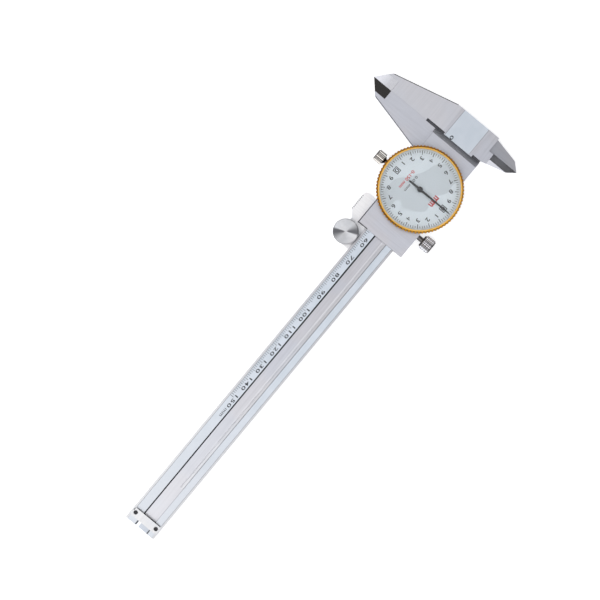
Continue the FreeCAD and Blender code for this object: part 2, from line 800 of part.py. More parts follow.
def depth_rod():
    """Rod in the beam's back groove, level with the beam's end when the reading is zero."""
    body = new_body("depth_rod")
    plan = sketch_on(body, offset="cover_thick")
    outline(plan, [
        ("rod_start_x", "-rod_half"), ("beam_end - rod_tip_length", "-rod_half"),
        ("beam_end", "rod_tip_step - rod_half"), ("beam_end", "rod_half"),
        ("rod_start_x", "rod_half"),
    ])
    extrude(body, plan, "rod_thick")
    holes = sketch_on(body, offset="cover_thick")
    for x in rod_screw_places():
        circle(holes, x, "0", "rod_screw_radius + seat_gap")
    pocket(body, holes, "rod_thick", reverse=True)
    for number, x in enumerate(rod_screw_places(), start=1):
        screw("rod_screw_%d" % number, "rod_screw_head", None, "rod_screw_radius",
              "rod_screw_length", x, "0", "shaft_gap", (0, 0, -1), sunk=True)


def dial_case():
    """Turned case on the front plate, with the bezel's bearing wall and the movement's pillars."""
    body = new_body("dial_case", "dial_x", "dial_y")
    wall = "case_wall_radius"
    low, high = "snap_mid - snap_groove / 2", "snap_mid + snap_groove / 2"
    revolve(body, [
        ("0", "plate_front"), ("case_radius", "plate_front"), ("case_radius", "flange_top"),
        (wall, "flange_top"), (wall, low), (wall + " - snap_wire", low),
        (wall + " - snap_wire", high), (wall, high), (wall, "wall_top"),
        (wall + " - case_wall", "wall_top"), (wall + " - case_wall", "base_top"),
        ("0", "base_top"),
    ])
    boss = sketch_on(body, offset="boss_low")
    circle(boss, "pinion_dx", "pinion_dy", "pinion_boss_radius")
    extrude(body, boss, "base_top - boss_low")
    pillars = sketch_on(body, offset="base_top")
    for side in ("", "-"):
        circle(pillars, "0", side + "pillar_offset", "pillar_radius")
    extrude(body, pillars, "bridge_lift")
    lug = sketch_on(body, offset="plate_front")
    rectangle(lug, "-clamp_boss_half", "clamp_boss_half", "-clamp_boss_reach",
              "case_wall - case_wall_radius")
    extrude(body, lug, "case_flange")
    bore = sketch_on(body, offset="base_top")
    circle(bore, "pinion_dx", "pinion_dy", "bush_radius")
    pocket(body, bore, "base_top - boss_low")
    pivots = sketch_on(body, offset="base_top")
    circle(pivots, "0", "0", "pivot_radius + shaft_gap")
    circle(pivots, "-pinion_dx", "pinion_dy", "pivot_radius + shaft_gap")
    for x, y in square_of("case_screw_offset"):
        circle(pivots, x, y, "case_screw_radius + seat_gap")
    pocket(body, pivots, "case_base")
    threads = sketch_on(body, offset="bridge_low")
    for side in ("", "-"):
        circle(threads, "0", side + "pillar_offset", "bridge_screw_radius + seat_gap")
    pocket(body, threads, "bridge_lift")
    clamp = sketch_on(body, "XZ_Plane", "clamp_boss_reach")
    circle(clamp, "0", "clamp_z", "clamp_thread_radius + shaft_gap")
    pocket(body, clamp, "clamp_boss_reach - case_wall_radius + case_wall")
    for number, (x, y) in enumerate(square_of("case_screw_offset"), start=1):
        screw("case_screw_%d" % number, "case_screw_head", "case_screw_head_height",
              "case_screw_radius", "case_screw_length", "dial_x + " + x, "dial_y + " + y,
              "base_top")


def snap_ring():
    """Split wire ring in the case's groove, which springs out against the bezel's bush."""
    body = new_body("bezel_snap_ring", "dial_x", "dial_y")
    inner, outer = "case_wall_radius - snap_wire + shaft_gap", "bush_bore - seat_gap"
    low, high = "snap_mid - snap_wire / 2", "snap_mid + snap_wire / 2"
    revolve(body, [(inner, low), (outer, low), (outer, high), (inner, high)],
            "360 - snap_opening")


def bezel_stack():
    """Bezel with a coin edge, and the bush, dial, spacer and crystal that turn with it."""
    body = new_body("bezel_ring", "dial_x", "dial_y")
    revolve(body, [
        ("bezel_bore", "bezel_low"), ("bezel_radius", "bezel_low"),
        ("bezel_radius", "notch_top"), ("bezel_radius - notch_depth - notch_ledge", "notch_top"),
        ("bezel_radius - bezel_slope_width", "bezel_top"), ("bezel_opening", "bezel_top"),
        ("bezel_opening", "crystal_top"), ("bezel_bore", "crystal_top"),
    ])
    flute(body, "bezel_radius", "notch_top", "notch_top - bezel_low",
          "notch_depth", "notch_half", "bezel_notches")
    turned("bezel_bush", [
        ("bush_bore", "bezel_low"), ("stack_radius", "bezel_low"), ("stack_radius", "dial_low"),
        ("bush_bore", "dial_low"),
    ], "dial_x", "dial_y")
    turned("dial_face", [
        ("dial_hole", "dial_low"), ("stack_radius", "dial_low"), ("stack_radius", "dial_top"),
        ("dial_hole", "dial_top"),
    ], "dial_x", "dial_y")
    turned("crystal_spacer", [
        ("stack_radius - spacer_wall", "dial_top"), ("stack_radius", "dial_top"),
        ("stack_radius", "crystal_low"), ("stack_radius - spacer_wall", "crystal_low"),
    ], "dial_x", "dial_y")
    turned("crystal", [
        ("0", "crystal_low"), ("stack_radius", "crystal_low"), ("stack_radius", "crystal_top"),
        ("0", "crystal_top"),
    ], "dial_x", "dial_y")


def gear_train():
    """Rack pinion, the two large wheels and the centre pinion, all in mesh at zero."""
    pinion_module = size("rack_pitch") / math.pi
    module = size("wheel_module")
    wheel_teeth, centre_teeth = round(size("wheel_teeth")), round(size("centre_teeth"))
    up = math.pi / 2
    pinion = Part.Face(Part.makePolygon(closed(
        gear_outline(round(size("pinion_teeth")), pinion_module, up, 2))))
    pinion = pinion.extrude(FreeCAD.Vector(0, 0, size("rack_height")))
    lift = size("pinion_low")
    shaft = stepped(lift, [
        ("arbor_radius", "pinion_low", "wheel_high + shaft_gap"),
        ("pivot_radius", "wheel_high + shaft_gap", "bridge_high - shaft_gap"),
    ])
    feature_of("pinion_arbor", pinion.fuse(shaft).removeSplitter(),
               "pinion_low", "pinion_x", "pinion_y")
    # Direction from each wheel's centre to the dial's centre, where its teeth meet the pinion's
    right_mesh = math.atan2(-size("pinion_dy"), -size("pinion_dx"))
    left_mesh = math.atan2(-size("pinion_dy"), size("pinion_dx"))
    wheel("intermediate_wheel", wheel_teeth, module, right_mesh, "pinion_x", "arbor_radius")
    # The centre pinion has a gap towards each wheel's tooth; the left wheel is turned to fit it
    centre_first = right_mesh + math.pi + math.pi / centre_teeth
    facing = (left_mesh + math.pi - centre_first) * centre_teeth / (2 * math.pi)
    offset = (facing - math.floor(facing)) * 2 * math.pi / wheel_teeth
    left_first = left_mesh + math.pi / wheel_teeth + offset
    wheel("takeup_wheel", wheel_teeth, module, left_first, "dial_x - pinion_dx", "spindle_radius")
    centre = Part.Face(Part.makePolygon(closed(
        gear_outline(centre_teeth, module, centre_first, 2))))
    centre = centre.extrude(FreeCAD.Vector(0, 0, size("wheel_thick + 2 * turn_gap")))
    centre.translate(FreeCAD.Vector(0, 0, size("wheel_low - turn_gap")))
    shaft = stepped(0, [
        ("pivot_radius", "plate_front + shaft_gap", "base_top + shaft_gap"),
        ("spindle_radius", "base_top + shaft_gap", "pointer_low + pointer_hub_height"),
    ])
    feature_of("centre_arbor", centre.fuse(shaft).removeSplitter(), "0", "dial_x", "dial_y")
    shaft = stepped(0, [
        ("pivot_radius", "plate_front + shaft_gap", "base_top + shaft_gap"),
        ("spindle_radius", "base_top + shaft_gap", "spring_low"),
        ("collet_radius", "spring_low", "spring_low + spring_height"),
        ("pivot_radius", "spring_low + spring_height", "bridge_high - shaft_gap"),
    ])
    feature_of("takeup_arbor", shaft, "0", "dial_x - pinion_dx", "pinion_y")


def closed(points):
    return points + points[:1]


def stepped(base, steps):
    """A stepped shaft about Z from (radius, low, high) steps, with heights above base."""
    shaft = None
    for radius, low, high in steps:
        length = size(high) - size(low)
        start = FreeCAD.Vector(0, 0, size(low) - base)
        step = Part.makeCylinder(size(radius), length, start)
        shaft = step if shaft is None else shaft.fuse(step)
    return shaft.removeSplitter()


def wheel(label, teeth, module, first_tooth, x, bore):
    outer = Part.Face(Part.makePolygon(closed(gear_outline(teeth, module, first_tooth, 1))))
    solid = outer.extrude(FreeCAD.Vector(0, 0, size("wheel_thick")))
    solid = solid.cut(Part.makeCylinder(size(bore), size("wheel_thick")))
    feature_of(label, solid, "wheel_low", x, "pinion_y")


def movement():
    """Bridge over the arbors, the pinion's bush and the hairspring that takes up backlash."""
    body = new_body("movement_bridge", "dial_x", "dial_y")
    upright = sketch_on(body, offset="bridge_low")
    reach = "pillar_offset + pillar_radius"
    rectangle(upright, "-bridge_half", "bridge_half", "-(%s)" % reach, reach)
    extrude(body, upright, "bridge_thick")
    across = sketch_on(body, offset="bridge_low")
    wing = "pinion_dx + bridge_end"
    low, high = "pinion_dy - bridge_half", "pinion_dy + bridge_half"
    rectangle(across, "-(%s)" % wing, wing, low, high)
    extrude(body, across, "bridge_thick")
    corners = [(side + "bridge_half", end + "(%s)" % reach) for side in ("", "-")
               for end in ("", "-")]
    corners += [(side + "(%s)" % wing, y) for side in ("", "-") for y in (low, high)]
    round_corners(body, corners, "bridge_corner")
    holes = sketch_on(body, offset="bridge_high")
    circle(holes, "0", "0", "spindle_radius + shaft_gap")
    for side in ("", "-"):
        circle(holes, side + "pinion_dx", "pinion_dy", "pivot_radius + shaft_gap")
        circle(holes, "0", side + "pillar_offset", "bridge_screw_radius + seat_gap")
    pocket(body, holes, "bridge_thick")
    for number, side in ((1, ""), (2, "-")):
        screw("bridge_screw_%d" % number, "bridge_screw_head", "bridge_screw_head_height",
              "bridge_screw_radius", "bridge_screw_length",
              "dial_x", "dial_y %s pillar_offset" % (side or "+"), "bridge_high")
    turned("pinion_bush", [
        ("arbor_radius + shaft_gap", "boss_low"), ("bush_radius", "boss_low"),
        ("bush_radius", "base_top"), ("arbor_radius + shaft_gap", "base_top"),
    ], "pinion_x", "pinion_y")
    hairspring()
    stud = doc.addObject("Part::Cylinder", "hairspring_stud")
    stud.Label = "hairspring_stud"
    bind(stud, "Radius", "stud_radius")
    bind(stud, "Height", "bridge_low - spring_low")
    bind(stud, "Placement.Base.x", "dial_x - pinion_dx + spring_outer + stud_radius")
    bind(stud, "Placement.Base.y", "pinion_y")
    bind(stud, "Placement.Base.z", "spring_low")


def hairspring():
    """Flat spiral from the take-up arbor's collet out to the stud."""
    inner, outer, strip = size("spring_inner"), size("spring_outer"), size("spring_strip")
    steps_a_turn = 12
    total = round(size("spring_turns") * steps_a_turn)

    def coil(shift):
        return [polar(inner + (outer - inner - strip) * step / total + shift,
                      2 * math.pi * step / steps_a_turn) for step in range(total + 1)]

    solid_from("hairspring", coil(0) + coil(strip)[::-1], "spring_low", "spring_height",
               "dial_x - pinion_dx", "pinion_y")


def pointer():
    body = new_body("pointer", "dial_x", "dial_y")
    plan = sketch_on(body, offset="pointer_low")
    outline(plan, [
        ("-pointer_tail_half", "-pointer_tail"), ("pointer_tail_half", "-pointer_tail"),
        ("pointer_root_half", "0"), ("pointer_tip_half", "pointer_reach"),
        ("-pointer_tip_half", "pointer_reach"), ("-pointer_root_half", "0"),
    ])
    extrude(body, plan, "pointer_thick")
    hub = sketch_on(body, offset="pointer_low")
    circle(hub, "0", "0", "pointer_hub")
    extrude(body, hub, "pointer_hub_height")
    bore = sketch_on(body, offset="pointer_low")
    circle(bore, "0", "0", "spindle_radius")
    pocket(body, bore, "pointer_hub_height", reverse=True)


def thumb_roller():
    """Knurled roller that runs along the beam's lower edge on a spindle in the cover's arm."""
    body = new_body("thumb_roller", "roller_x", "roller_y")
    rim, ledge = "roller_radius - head_chamfer", "roller_radius - roller_notch_depth - notch_ledge"
    low, high = "roller_low + head_chamfer", "roller_high - head_chamfer"
    revolve(body, [
        ("roller_screw_radius", "roller_recess - shaft_gap"),
        ("roller_spindle", "roller_recess - shaft_gap"), ("roller_spindle", "roller_low"),
        (rim, "roller_low"), (ledge, low), ("roller_radius", low), ("roller_radius", high),
        (ledge, high), (rim, "roller_high"),
        ("0", "roller_high - roller_dish"), ("0", "roller_screw_length + roller_recess"),
        ("roller_screw_radius", "roller_screw_length + roller_recess"),
    ])
    flute(body, "roller_radius", high, "roller_height - 2 * head_chamfer",
          "roller_notch_depth", "roller_notch_half", "roller_notches")
    screw("roller_screw", "roller_screw_head", "roller_screw_head_height", "roller_screw_radius",
          "roller_screw_length", "roller_x", "roller_y", "roller_recess - shaft_gap", (0, 0, -1))
    turned("roller_washer", [
        ("roller_spindle + turn_gap", "cover_thick"), ("washer_radius", "cover_thick"),
        ("washer_radius", "cover_thick + washer_thick"),
        ("roller_spindle + turn_gap", "cover_thick + washer_thick"),
    ], "roller_x", "roller_y")


def flute(body, radius, top, length, depth, half, count):
    """V grooves all round a turned band that ends in a flat at the top, one cut and repeated."""
    groove = sketch_on(body, offset=top)
    outline(groove, [
        ("%s - %s" % (radius, depth), "0"), ("%s + seat_gap" % radius, "-%s" % half),
        ("%s + seat_gap" % radius, "1 * %s" % half),
    ])
    around(body, pocket(body, groove, length), count)


def thumb_screws():
    """Lock screw through the upper rail, and the bezel clamp screw in the case's lug."""
    reach = "lock_head_low_y - gib_high - turn_gap"
    top, bottom = "%s + lock_head_length" % reach, "%s + 2 * head_chamfer" % reach
    band, ledge = "%s - head_chamfer" % top, "lock_head_radius - flute_depth - notch_ledge"
    body = turned("lock_screw", [
        ("0", "0"), ("lock_neck_radius", "0"), ("lock_neck_radius", reach),
        ("lock_head_radius - 2 * head_chamfer", reach), (ledge, bottom),
        ("lock_head_radius", bottom), ("lock_head_radius", band), (ledge, band),
        ("lock_head_radius - head_chamfer", top), ("0", top),
    ], "lock_x", "gib_high + turn_gap", "lock_z", (0, 1, 0))
    flute(body, "lock_head_radius", band, "lock_head_length - 3 * head_chamfer",
          "flute_depth", "flute_half", "lock_flutes")
    cone, head = "clamp_cone_length", "clamp_cone_length + clamp_head_length"
    band, ledge = "%s - head_chamfer" % head, "clamp_head_radius - flute_depth - notch_ledge"
    body = turned("bezel_clamp_screw", [
        ("0", "-clamp_thread_depth"), ("clamp_thread_radius", "-clamp_thread_depth"),
        ("clamp_thread_radius", "0"), ("clamp_cone_radius", cone), ("clamp_head_radius", cone),
        ("clamp_head_radius", band), (ledge, band),
        ("clamp_head_radius - head_chamfer", head), ("0", head),
    ], "dial_x", "clamp_seat_y", "clamp_z", (0, -1, 0))
    flute(body, "clamp_head_radius", band, "clamp_head_length - head_chamfer",
          "flute_depth", "flute_half", "clamp_flutes")


def check_and_write():
    """Refuse a failed object or an invalid shape, then write one file for each piece."""
    doc.recompute()
    for item in doc.Objects:
        if {"Invalid", "Error"} & set(item.State):
            raise RuntimeError("%s did not compute: %s" % (item.Label, item.State))
    kinds = ("PartDesign::Body", "Part::Feature", "Part::Box", "Part::Cylinder")
    pieces = [item for item in doc.Objects if item.TypeId in kinds]
    os.makedirs("parts", exist_ok=True)
    for piece in pieces:
        if piece.Shape.isNull() or not piece.Shape.isValid():
            raise RuntimeError("%s has no valid shape" % piece.Label)
        piece.Shape.exportStep("parts/%s.step" % piece.Label)
    print("%d pieces" % len(pieces))


fill_sheet()
main_beam()
rack()
end_stop()
slider_frame()
gib()
back_cover()
depth_rod()
dial_case()
snap_ring()
bezel_stack()
gear_train()
movement()
pointer()
thumb_roller()
thumb_screws()
check_and_write()
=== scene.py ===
"""Dial caliper, 0-150 mm: camera, light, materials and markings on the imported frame.

Everything is in metres, in the frame of the CAD model: X along the beam with zero at the
measuring faces, Y across it, Z up with the back cover at zero. Only the limits of the masks
that the materials are painted by (above, below, band, ramp, beside) are in millimetres.
"""
import math

import bpy
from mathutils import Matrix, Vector


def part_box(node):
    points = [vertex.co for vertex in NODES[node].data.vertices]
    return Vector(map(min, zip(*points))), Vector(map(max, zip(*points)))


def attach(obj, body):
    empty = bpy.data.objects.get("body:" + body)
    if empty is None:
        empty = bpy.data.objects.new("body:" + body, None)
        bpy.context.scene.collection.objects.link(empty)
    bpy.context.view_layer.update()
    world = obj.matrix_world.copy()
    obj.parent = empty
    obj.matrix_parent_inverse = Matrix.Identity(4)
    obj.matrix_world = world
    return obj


MM = 0.001

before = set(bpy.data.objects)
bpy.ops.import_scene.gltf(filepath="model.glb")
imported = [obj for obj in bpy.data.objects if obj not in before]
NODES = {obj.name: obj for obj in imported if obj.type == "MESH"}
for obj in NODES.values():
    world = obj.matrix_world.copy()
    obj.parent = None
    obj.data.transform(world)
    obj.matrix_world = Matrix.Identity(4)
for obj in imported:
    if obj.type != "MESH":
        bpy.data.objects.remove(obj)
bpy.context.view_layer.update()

# The dial's place, read from the frame.
DIAL_LOW, DIAL_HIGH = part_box("dial_face")
DIAL_X = (DIAL_LOW.x + DIAL_HIGH.x) / 2
DIAL_Y = (DIAL_LOW.y + DIAL_HIGH.y) / 2
DIAL_TOP = DIAL_HIGH.z

# Sizes of the CAD model that masks and markings go by, in millimetres.
BEAM_TOP = 5.1
CHANNEL_EDGE = 3.95  # all that lies in the beam's channel is lower than this
# The dark line on a jaw's outer edge is painted shade.
EDGE_DEPTH = 0.35  # how far the dark line on a jaw's outer edge reaches down its side
NOTCHES = 80  # on the bezel's edge, all round

# Centre lines in metres: of the roller in X and Y, of the two knurled screws in X and Z.
ROLLER_CENTRE = (61.25 * MM, -13.85 * MM)
LOCK_AXIS = (42.55 * MM, 3.6 * MM)
CLAMP_AXIS = (26.2 * MM, 8.9 * MM)

INK = 0.012 * MM  # thickness of the printed marks
GRAIN_DEPTH = 0.0012  # depth of the grinding lines, in millimetres

EVEN = (1.0, 1.0, 1.0)
BLACK = (0.0, 0.0, 0.0, 1.0)
WHITE = (1.0, 1.0, 1.0, 1.0)
# Painted shade in the channel's run-out groove.
GROOVE_SHADE = (0.035, 0.037, 0.04)
# Painted shade along the channel's upper wall.
WALL_SHADE = (0.07, 0.075, 0.085)
LINE_GREY = (0.16, 0.16, 0.18)
# Painted shade in the relief between the jaws.
RELIEF_SHADE = (0.11, 0.11, 0.12)


# Node trees

class Tree:
    """A node tree with short calls for the nodes that the materials share."""

    def __init__(self, tree):
        self.tree = tree
        self.place = None

    def add(self, kind, values=(), **settings):
        node = self.tree.nodes.new(kind)
        for key, value in settings.items():
            setattr(node, key, value)
        for key, value in dict(values).items():
            self.put(node.inputs[key], value)
        return node

    def put(self, socket, value):
        if isinstance(value, bpy.types.NodeSocket):
            self.tree.links.new(value, socket)
        else:
            socket.default_value = value

    def math(self, operation, *values, clamp=False):
        node = self.add("ShaderNodeMath", enumerate(values), operation=operation, use_clamp=clamp)
        return node.outputs[0]

    def mix(self, factor, a, b):
        """A colour between a and b."""
        node = self.add("ShaderNodeMix", data_type="RGBA")
        self.put(node.inputs[0], factor)
        self.put(node.inputs[6], a)
        self.put(node.inputs[7], b)
        return node.outputs[2]

    def darker(self, colour, shade):
        """The colour from black at shade 0 to itself at 1 and above."""
        return self.mix(shade, BLACK, colour)

    def blend(self, factor, a, b):
        """A number between a and b."""
        node = self.add("ShaderNodeMix", data_type="FLOAT")
        self.put(node.inputs[0], factor)
        self.put(node.inputs[2], a)
        self.put(node.inputs[3], b)
        return node.outputs[0]

    def spread(self, value, low, high, to_low=0.0, to_high=1.0, kind="SMOOTHSTEP"):
        """to_low where the value is at or under low, to_high from high on, smooth between."""
        node = self.add("ShaderNodeMapRange", enumerate((value, low, high, to_low, to_high)),
                        interpolation_type=kind)
        return node.outputs[0]

    def ramp(self, value, low, high, to_low=0.0, to_high=1.0):
        """The same with low and high in millimetres."""
        return self.spread(value, low * MM, high * MM, to_low, to_high)

    def above(self, value, limit):
        return self.math("GREATER_THAN", value, limit * MM)

    def below(self, value, limit):
        return self.math("LESS_THAN", value, limit * MM)

    def band(self, value, low, high):
        """1 between low and high."""
        middle, half = (low + high) / 2 * MM, (high - low) / 2 * MM
        return self.math("COMPARE", value, middle, half)

    def beside(self, x, y, start, end, width):
        """1 on the strip of this width along the left of the line from start to end.

        It starts 0.3 mm to the right of the line, so that it covers the edge itself.
        """
        run, rise = end[0] - start[0], end[1] - start[1]
        length = math.hypot(run, rise)
        off = self.math("MULTIPLY_ADD", y, run / length, self.math("MULTIPLY", x, -rise / length))
        line = (start[1] * run - start[0] * rise) / length
        return self.band(off, line - 0.3, line + width)

    def inside(self, *parts):
        """The product of the parts: 1 where every one of them is 1."""
        value = parts[0]
        for part in parts[1:]:
            value = self.math("MULTIPLY", value, part)
        return value

    def either(self, *parts):
        """The largest of the parts."""
        value = parts[0]
        for part in parts[1:]:
            value = self.math("MAXIMUM", value, part)
        return value

    def coords(self):
        """The point in the object's own frame, in metres, once for each tree."""
        if self.place is None:
            self.place = self.add("ShaderNodeTexCoord").outputs["Object"]
        return self.place

    def xyz(self):
        node = self.add("ShaderNodeSeparateXYZ", {0: self.coords()})
        return node.outputs[0], node.outputs[1], node.outputs[2]

    def about(self, a, b, centre):
        """a and b from a centre, and how far they are from it together."""
        da = self.math("SUBTRACT", a, centre[0])
        db = self.math("SUBTRACT", b, centre[1])
        squares = self.math("ADD", self.math("MULTIPLY", da, da), self.math("MULTIPLY", db, db))
        return da, db, self.math("SQRT", squares)

    def dot(self, vector, towards):
        node = self.add("ShaderNodeVectorMath", {0: vector, 1: towards}, operation="DOT_PRODUCT")
        return node.outputs["Value"]

    def noise(self, size, stretch=EVEN, detail=3.0, roughness=0.55):
        """Noise with features of this size in millimetres, drawn out along an axis."""
        scale = tuple(1.0 / (size * MM * s) for s in stretch)
        mapping = self.add("ShaderNodeMapping", {"Vector": self.coords(), "Scale": scale})
        node = self.add("ShaderNodeTexNoise", {"Vector": mapping.outputs[0], "Scale": 1.0,
                                               "Detail": detail, "Roughness": roughness})
        return node.outputs[0]

    def bump(self, height, depth):
        """A bump as deep as this many millimetres."""
        values = {"Height": height, "Distance": depth * MM, "Strength": 1.0}
        return self.add("ShaderNodeBump", values).outputs[0]


class Paint(Tree):
    """A material with one Principled shader."""

    def __init__(self, name, metallic=1.0, specular=0.5):
        self.name = name
        self.material = bpy.data.materials.new(name)
        self.material.use_nodes = True
        self.material.node_tree.nodes.clear()
        super().__init__(self.material.node_tree)
        self.shader = self.add("ShaderNodeBsdfPrincipled", {"Metallic": metallic,
                                                            "Specular IOR Level": specular})
        output = self.add("ShaderNodeOutputMaterial")
        self.put(output.inputs[0], self.shader.outputs[0])
        self.lines = None  # the grinding lines of a brushed metal

    def set(self, name, value):
        self.put(self.shader.inputs[name], value)

    def now(self, name):
        """What the shader's socket of this name is fed with so far."""
        return self.shader.inputs[name].links[0].from_socket

    def over(self, where, colour, amount=1.0):
        """Another colour over what is there: mostly painted shade and painted light, and some
        tones of the metal's own.
        """
        if amount != 1.0:
            where = self.math("MULTIPLY", where, amount)
        self.set("Base Color", self.mix(where, self.now("Base Color"), (*colour, 1.0)))


# Camera, light and floor

def add_camera():
    """It looks straight down, turned so that the beam lies across the picture's diagonal."""
    data = bpy.data.cameras.new("camera")
    data.lens = 161.6
    data.sensor_width = 36.0
    data.clip_start = 0.01
    data.clip_end = 20.0
    camera = bpy.data.objects.new("camera", data)
    camera.location = (97.8 * MM, -9.95 * MM, 1.2051)
    camera.rotation_euler = (0.0, 0.0, math.radians(129.72))
    bpy.context.collection.objects.link(camera)
    bpy.context.scene.camera = camera


def add_area_light(name, location, size, power):
    """A square lamp that looks at the middle of the beam."""
    data = bpy.data.lights.new(name, "AREA")
    data.shape = "SQUARE"
    data.size = size
    data.energy = power
    lamp = bpy.data.objects.new(name, data)
    lamp.location = location
    aim = Vector((90 * MM, 0.0, 0.0)) - Vector(location)
    lamp.rotation_euler = aim.to_track_quat("-Z", "Y").to_euler()
    bpy.context.collection.objects.link(lamp)


def add_world():
    """A pale studio, darker past both ends of the beam, and plain white for the camera."""
    world = bpy.data.worlds.new("world")
    world.use_nodes = True
    bpy.context.scene.world = world
    tree = Tree(world.node_tree)
    world.node_tree.nodes.clear()
    direction = tree.add("ShaderNodeTexCoord").outputs["Generated"]
    jaws_way = tree.dot(direction, (-0.99, 0.14, 0.0))
    end_way = tree.dot(direction, (0.72, -0.69, 0.0))
    sideways = tree.math("ABSOLUTE", tree.dot(direction, (0.0, 1.0, 0.0)))
    height = tree.dot(direction, (0.0, 0.0, 1.0))

    dark_past_jaws = tree.spread(jaws_way, 0.08, 0.52, 1.0, 0.05)
    dark_past_end = tree.spread(end_way, 0.50, 0.80, 1.0, 0.15)
    dim_low_over_end = tree.spread(jaws_way, -0.68, -0.25, 0.55, 1.0)
    brighter_to_end = tree.spread(jaws_way, -0.22, 0.25, 1.38, 0.88, "LINEAR")
    step_overhead = tree.spread(jaws_way, -0.10, 0.02, 1.11, 1.0, "LINEAR")
    level = tree.inside(dark_past_jaws, dark_past_end, brighter_to_end, dim_low_over_end,
                        step_overhead)
    # Bright on both long sides, dimmer near the horizon, and no glare away from the zenith.
    level = tree.blend(tree.spread(sideways, 0.40, 0.65), level, tree.either(level, 0.95))
    level = tree.inside(level, tree.spread(height, 0.45, 0.85, 0.72, 1.0))
    level = tree.math("MINIMUM", level, tree.spread(height, 0.72, 0.92, 0.85, 1.6))

    studio = tree.add("ShaderNodeBackground", {"Color": (0.97, 0.98, 1.0, 1.0), "Strength": level})
    white = tree.add("ShaderNodeBackground", {"Color": WHITE, "Strength": 1.0})
    path = tree.add("ShaderNodeLightPath")
    seen = tree.math("ADD", path.outputs["Is Camera Ray"], path.outputs["Is Transmission Ray"],
                     clamp=True)
    mix = tree.add("ShaderNodeMixShader", {0: seen, 1: studio.outputs[0], 2: white.outputs[0]})
    output = tree.add("ShaderNodeOutputWorld")
    tree.put(output.inputs[0], mix.outputs[0])


def add_floor():
    """A white floor just under the back cover, which also glows a little where it is seen."""
    side = 4.0
    z = -0.05 * MM
    mesh = bpy.data.meshes.new("floor")
    corners = [(-side, -side, z), (side, -side, z), (side, side, z), (-side, side, z)]
    mesh.from_pydata(corners, [], [(0, 1, 2, 3)])
    floor = bpy.data.objects.new("floor", mesh)
    bpy.context.collection.objects.link(floor)
    paint = Paint("floor_white", metallic=0.0, specular=0.0)
    path = paint.add("ShaderNodeLightPath")
    seen = paint.math("ADD", path.outputs["Is Camera Ray"], path.outputs["Is Glossy Ray"])
    seen = paint.math("ADD", seen, path.outputs["Is Transmission Ray"], clamp=True)
    paint.set("Base Color", (0.78, 0.78, 0.78, 1.0))
    paint.set("Roughness", 1.0)
    paint.set("Emission Color", WHITE)
    paint.set("Emission Strength", paint.math("MULTIPLY", seen, 0.62))
    paint.material.cycles.emission_sampling = "NONE"
    mesh.materials.append(paint.material)


bpy.context.scene.view_settings.view_transform = "Standard"
add_camera()
add_world()
add_area_light("key", (0.75, -0.55, 1.15), size=1.2, power=4.0)
add_floor()


# Materials

def brushed(name, colour, rough, grain=(30.0, 1.0, 1.0), size=0.12, uneven=0.05, metallic=1.0):
    """Ground or brushed metal: fine lines along one axis, wider streaks, warm and cool patches."""
    paint = Paint(name, metallic)
    lines = paint.noise(size, grain, detail=4.0, roughness=0.7)
    streaks = paint.noise(size * 5, grain, detail=2.0)
    clouds = paint.noise(7.0, detail=3.0)
    specks = paint.noise(0.5, detail=2.0)
    patches = paint.spread(paint.noise(14.0, detail=1.0), 0.38, 0.62)
    shade = paint.inside(
        paint.math("MULTIPLY_ADD", lines, uneven * 1.2, 1.0 - uneven),
        paint.spread(clouds, 0.3, 0.7, 1.0 - uneven, 1.0 + uneven * 0.6),
        paint.spread(streaks, 0.3, 0.7, 1.0 - uneven * 1.3, 1.0 + uneven * 0.8))
    warm = [c * t for c, t in zip(colour, (1.015, 0.998, 0.985))]
    cool = [c * t for c, t in zip(colour, (0.985, 0.997, 1.012))]
    tint = paint.mix(patches, (*warm, 1.0), (*cool, 1.0))
    paint.set("Base Color", paint.darker(tint, shade))
    gloss = paint.spread(clouds, 0.3, 0.7, rough - 0.04, rough + 0.05)
    gloss = paint.math("MULTIPLY_ADD", specks, 0.06, gloss)
    paint.set("Roughness", paint.math("MULTIPLY_ADD", lines, 0.08, gloss))
    paint.set("Normal", paint.bump(lines, GRAIN_DEPTH))
    paint.lines = lines
    return paint


def satin_chrome(paint, x, y, z):
    """Frosted chrome on the beam's scale strips and on its head. Returns where it lies."""
    head = paint.inside(paint.band(y, -7.35, 6.4), paint.below(x, 0.0))
    strips = paint.math("ADD", paint.band(y, 4.05, 7.0), paint.band(y, -6.9, -2.85))
    strips = paint.inside(strips, paint.above(x, 0.0))
    satin = paint.inside(paint.above(z, BEAM_TOP - 0.06),
                         paint.math("ADD", head, strips, clamp=True))
    haze = paint.spread(paint.noise(9.0, detail=2.0), 0.3, 0.7)
    pale = paint.mix(haze, (0.61, 0.66, 0.72, 1.0), (0.67, 0.71, 0.77, 1.0))
    frost = paint.noise(0.16, detail=2.0)
    paint.set("Base Color", paint.mix(satin, paint.now("Base Color"), pale))
    paint.set("Roughness", paint.blend(satin, paint.now("Roughness"), 0.46))
    paint.set("Normal", paint.bump(paint.blend(satin, paint.lines, frost), GRAIN_DEPTH))
    return satin


def wall_line(paint, x, y):
    """Where the painted shade along the channel's upper wall lies, fainter towards the beam's end.
    """
    return paint.inside(paint.above(y, 3.72), paint.ramp(x, 70.0, 200.0, 0.52, 0.33))


